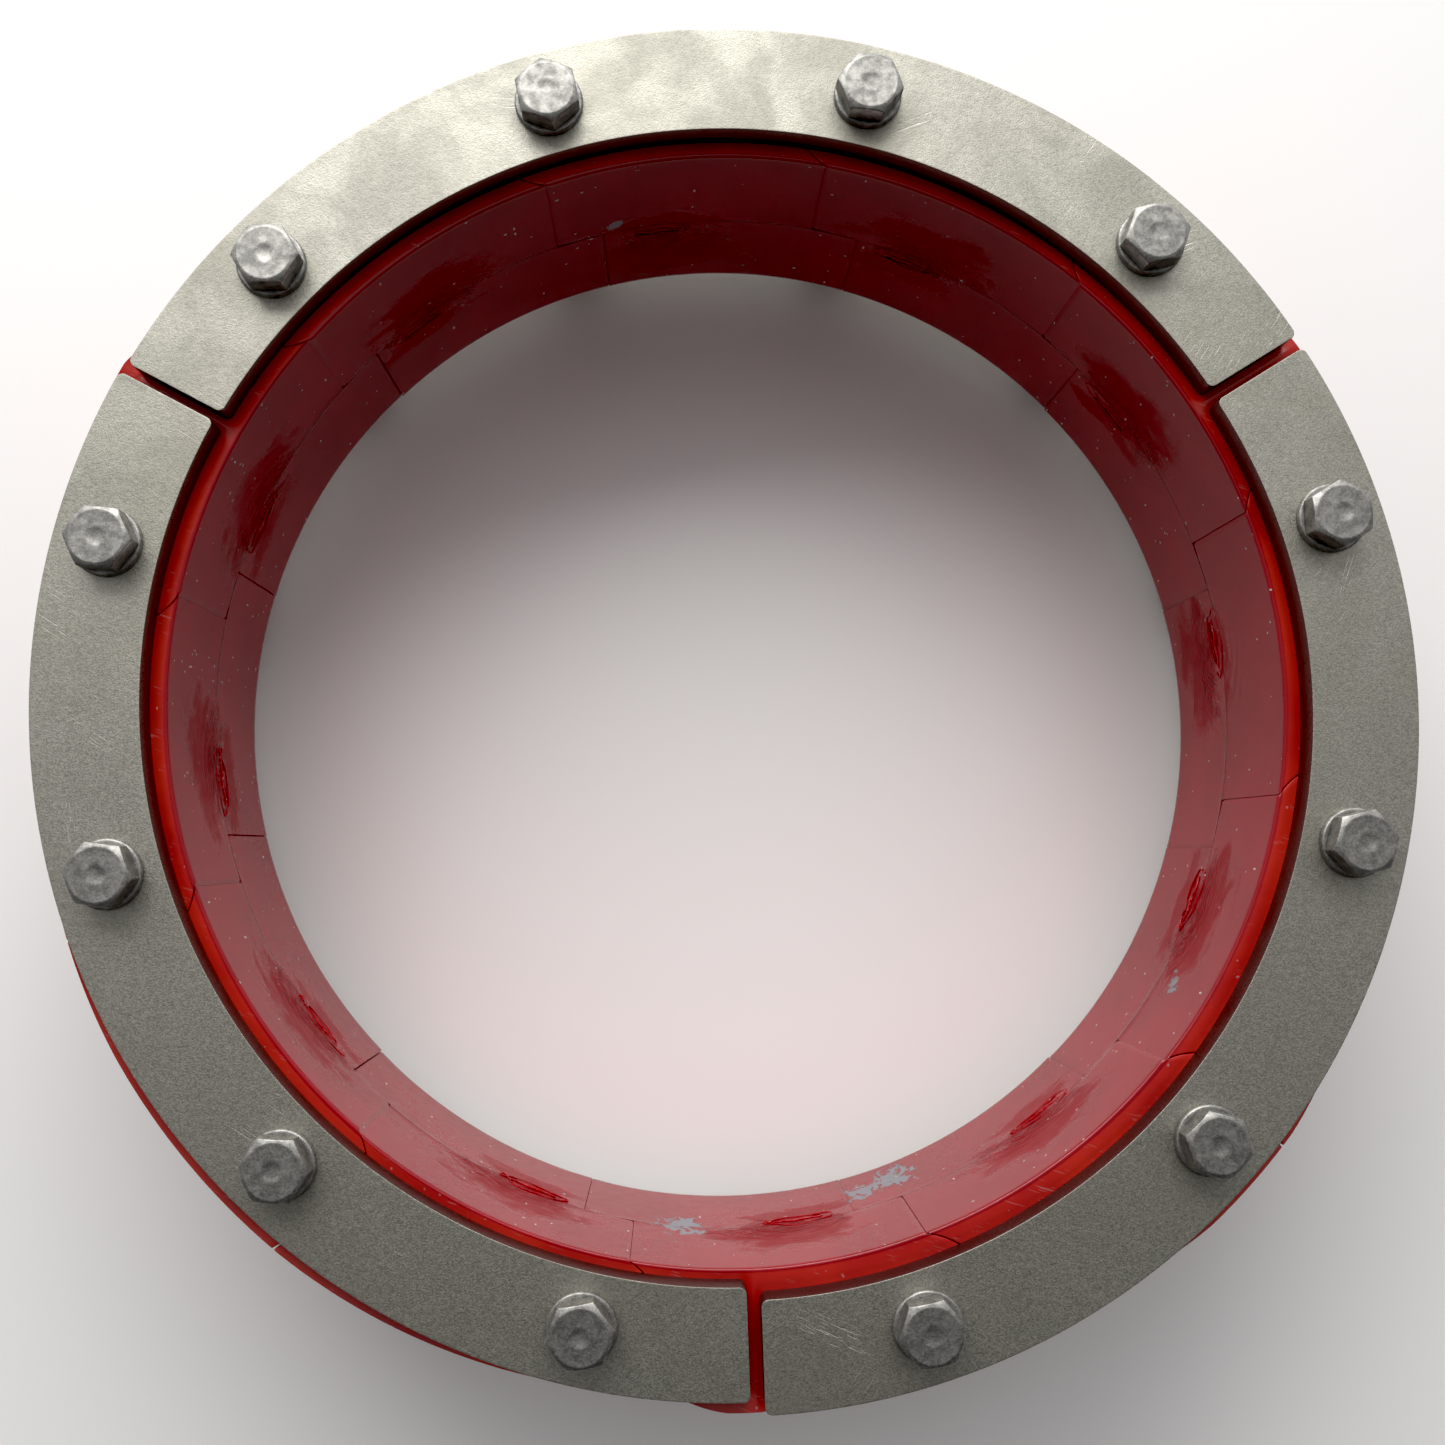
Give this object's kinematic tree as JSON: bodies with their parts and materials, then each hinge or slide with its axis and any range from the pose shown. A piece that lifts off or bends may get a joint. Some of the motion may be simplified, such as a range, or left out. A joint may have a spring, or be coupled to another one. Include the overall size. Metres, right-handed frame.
{
  "type": "segmented annular pipe seal",
  "caption": "Annular pipe seal: half-lapped red elastomer links squeezed between arc-shaped steel plates by through screws, so they swell onto a pipe and its wall sleeve.",
  "frame": {"origin": "centre of the bore, half way along the elastomer links", "axes": "+Z along the ring's axis towards the screw heads; +Y up as the ring stands, with a joint between two plates straight below the centre"},
  "size_m": [0.3974, 0.3981, 0.1164],
  "materials": {
    "seal_rubber": "glossy moulded red",
    "plate_steel": "bead blasted",
    "fastener_steel": "satin",
    "washer_steel": "satin"
  },
  "bodies": {
    "rear_frame": {"rear_plate_1": "plate_steel", "rear_plate_2": "plate_steel", "rear_plate_3": "plate_steel", "seal_link_01": "seal_rubber", "seal_link_02": "seal_rubber", "seal_link_03": "seal_rubber", "seal_link_04": "seal_rubber", "seal_link_05": "seal_rubber", "seal_link_06": "seal_rubber", "seal_link_07": "seal_rubber", "seal_link_08": "seal_rubber", "seal_link_09": "seal_rubber", "seal_link_10": "seal_rubber", "seal_link_11": "seal_rubber", "seal_link_12": "seal_rubber", "nut_01": "fastener_steel", "nut_02": "fastener_steel", "nut_03": "fastener_steel", "nut_04": "fastener_steel", "nut_05": "fastener_steel", "nut_06": "fastener_steel", "nut_07": "fastener_steel", "nut_08": "fastener_steel", "nut_09": "fastener_steel", "nut_10": "fastener_steel", "nut_11": "fastener_steel", "nut_12": "fastener_steel"},
    "press_1": {"front_plate_1": "plate_steel", "washer_01": "washer_steel", "washer_02": "washer_steel", "washer_03": "washer_steel", "washer_04": "washer_steel"},
    "press_2": {"front_plate_2": "plate_steel", "washer_05": "washer_steel", "washer_06": "washer_steel", "washer_07": "washer_steel", "washer_08": "washer_steel"},
    "press_3": {"front_plate_3": "plate_steel", "washer_09": "washer_steel", "washer_10": "washer_steel", "washer_11": "washer_steel", "washer_12": "washer_steel"},
    "turning_screw_01": {"screw_01": "fastener_steel"},
    "turning_screw_02": {"screw_02": "fastener_steel"},
    "turning_screw_03": {"screw_03": "fastener_steel"},
    "turning_screw_04": {"screw_04": "fastener_steel"},
    "turning_screw_05": {"screw_05": "fastener_steel"},
    "turning_screw_06": {"screw_06": "fastener_steel"},
    "turning_screw_07": {"screw_07": "fastener_steel"},
    "turning_screw_08": {"screw_08": "fastener_steel"},
    "turning_screw_09": {"screw_09": "fastener_steel"},
    "turning_screw_10": {"screw_10": "fastener_steel"},
    "turning_screw_11": {"screw_11": "fastener_steel"},
    "turning_screw_12": {"screw_12": "fastener_steel"}
  },
  "joints": [
    {"name": "press_1_slide", "type": "slide", "parent": "rear_frame", "child": "press_1", "axis": [0, 0, -1], "range_m": [0, 0.0075], "deforming": ["seal_link_01", "seal_link_02", "seal_link_03", "seal_link_04", "seal_link_05"]},
    {"name": "press_2_slide", "type": "slide", "parent": "rear_frame", "child": "press_2", "axis": [0, 0, -1], "range_m": [0, 0.0075], "deforming": ["seal_link_05", "seal_link_06", "seal_link_07", "seal_link_08", "seal_link_09"]},
    {"name": "press_3_slide", "type": "slide", "parent": "rear_frame", "child": "press_3", "axis": [0, 0, -1], "range_m": [0, 0.0075], "deforming": ["seal_link_01", "seal_link_09", "seal_link_10", "seal_link_11", "seal_link_12"]},
    {"name": "screw_01_turn", "type": "hinge", "parent": "press_1", "child": "turning_screw_01", "pos_m": [0.12794, 0.12884, 0.05], "axis": [0, 0, -1], "range_deg": [0, 1800]},
    {"name": "screw_02_turn", "type": "hinge", "parent": "press_1", "child": "turning_screw_02", "pos_m": [0.04658, 0.17582, 0.05], "axis": [0, 0, -1], "range_deg": [0, 1800]},
    {"name": "screw_03_turn", "type": "hinge", "parent": "press_1", "child": "turning_screw_03", "pos_m": [-0.04738, 0.17582, 0.05], "axis": [0, 0, -1], "range_deg": [0, 1800]},
    {"name": "screw_04_turn", "type": "hinge", "parent": "press_1", "child": "turning_screw_04", "pos_m": [-0.12874, 0.12884, 0.05], "axis": [0, 0, -1], "range_deg": [0, 1800]},
    {"name": "screw_05_turn", "type": "hinge", "parent": "press_2", "child": "turning_screw_05", "pos_m": [-0.17602, 0.04858, 0.05], "axis": [0, 0, -1], "range_deg": [0, 1800]},
    {"name": "screw_06_turn", "type": "hinge", "parent": "press_2", "child": "turning_screw_06", "pos_m": [-0.17602, -0.04538, 0.05], "axis": [0, 0, -1], "range_deg": [0, 1800]},
    {"name": "screw_07_turn", "type": "hinge", "parent": "press_2", "child": "turning_screw_07", "pos_m": [-0.12904, -0.12674, 0.05], "axis": [0, 0, -1], "range_deg": [0, 1800]},
    {"name": "screw_08_turn", "type": "hinge", "parent": "press_2", "child": "turning_screw_08", "pos_m": [-0.04768, -0.17372, 0.05], "axis": [0, 0, -1], "range_deg": [0, 1800]},
    {"name": "screw_09_turn", "type": "hinge", "parent": "press_3", "child": "turning_screw_09", "pos_m": [0.04748, -0.17732, 0.05], "axis": [0, 0, -1], "range_deg": [0, 1800]},
    {"name": "screw_10_turn", "type": "hinge", "parent": "press_3", "child": "turning_screw_10", "pos_m": [0.12884, -0.13034, 0.05], "axis": [0, 0, -1], "range_deg": [0, 1800]},
    {"name": "screw_11_turn", "type": "hinge", "parent": "press_3", "child": "turning_screw_11", "pos_m": [0.17582, -0.04898, 0.05], "axis": [0, 0, -1], "range_deg": [0, 1800]},
    {"name": "screw_12_turn", "type": "hinge", "parent": "press_3", "child": "turning_screw_12", "pos_m": [0.17582, 0.04498, 0.05], "axis": [0, 0, -1], "range_deg": [0, 1800]}
  ],
  "couplings": [
    {"joint": "screw_01_turn", "follows": "press_1_slide", "rad_per_m": 4188.8},
    {"joint": "screw_02_turn", "follows": "press_1_slide", "rad_per_m": 4188.8},
    {"joint": "screw_03_turn", "follows": "press_1_slide", "rad_per_m": 4188.8},
    {"joint": "screw_04_turn", "follows": "press_1_slide", "rad_per_m": 4188.8},
    {"joint": "screw_05_turn", "follows": "press_2_slide", "rad_per_m": 4188.8},
    {"joint": "screw_06_turn", "follows": "press_2_slide", "rad_per_m": 4188.8},
    {"joint": "screw_07_turn", "follows": "press_2_slide", "rad_per_m": 4188.8},
    {"joint": "screw_08_turn", "follows": "press_2_slide", "rad_per_m": 4188.8},
    {"joint": "screw_09_turn", "follows": "press_3_slide", "rad_per_m": 4188.8},
    {"joint": "screw_10_turn", "follows": "press_3_slide", "rad_per_m": 4188.8},
    {"joint": "screw_11_turn", "follows": "press_3_slide", "rad_per_m": 4188.8},
    {"joint": "screw_12_turn", "follows": "press_3_slide", "rad_per_m": 4188.8}
  ]
}
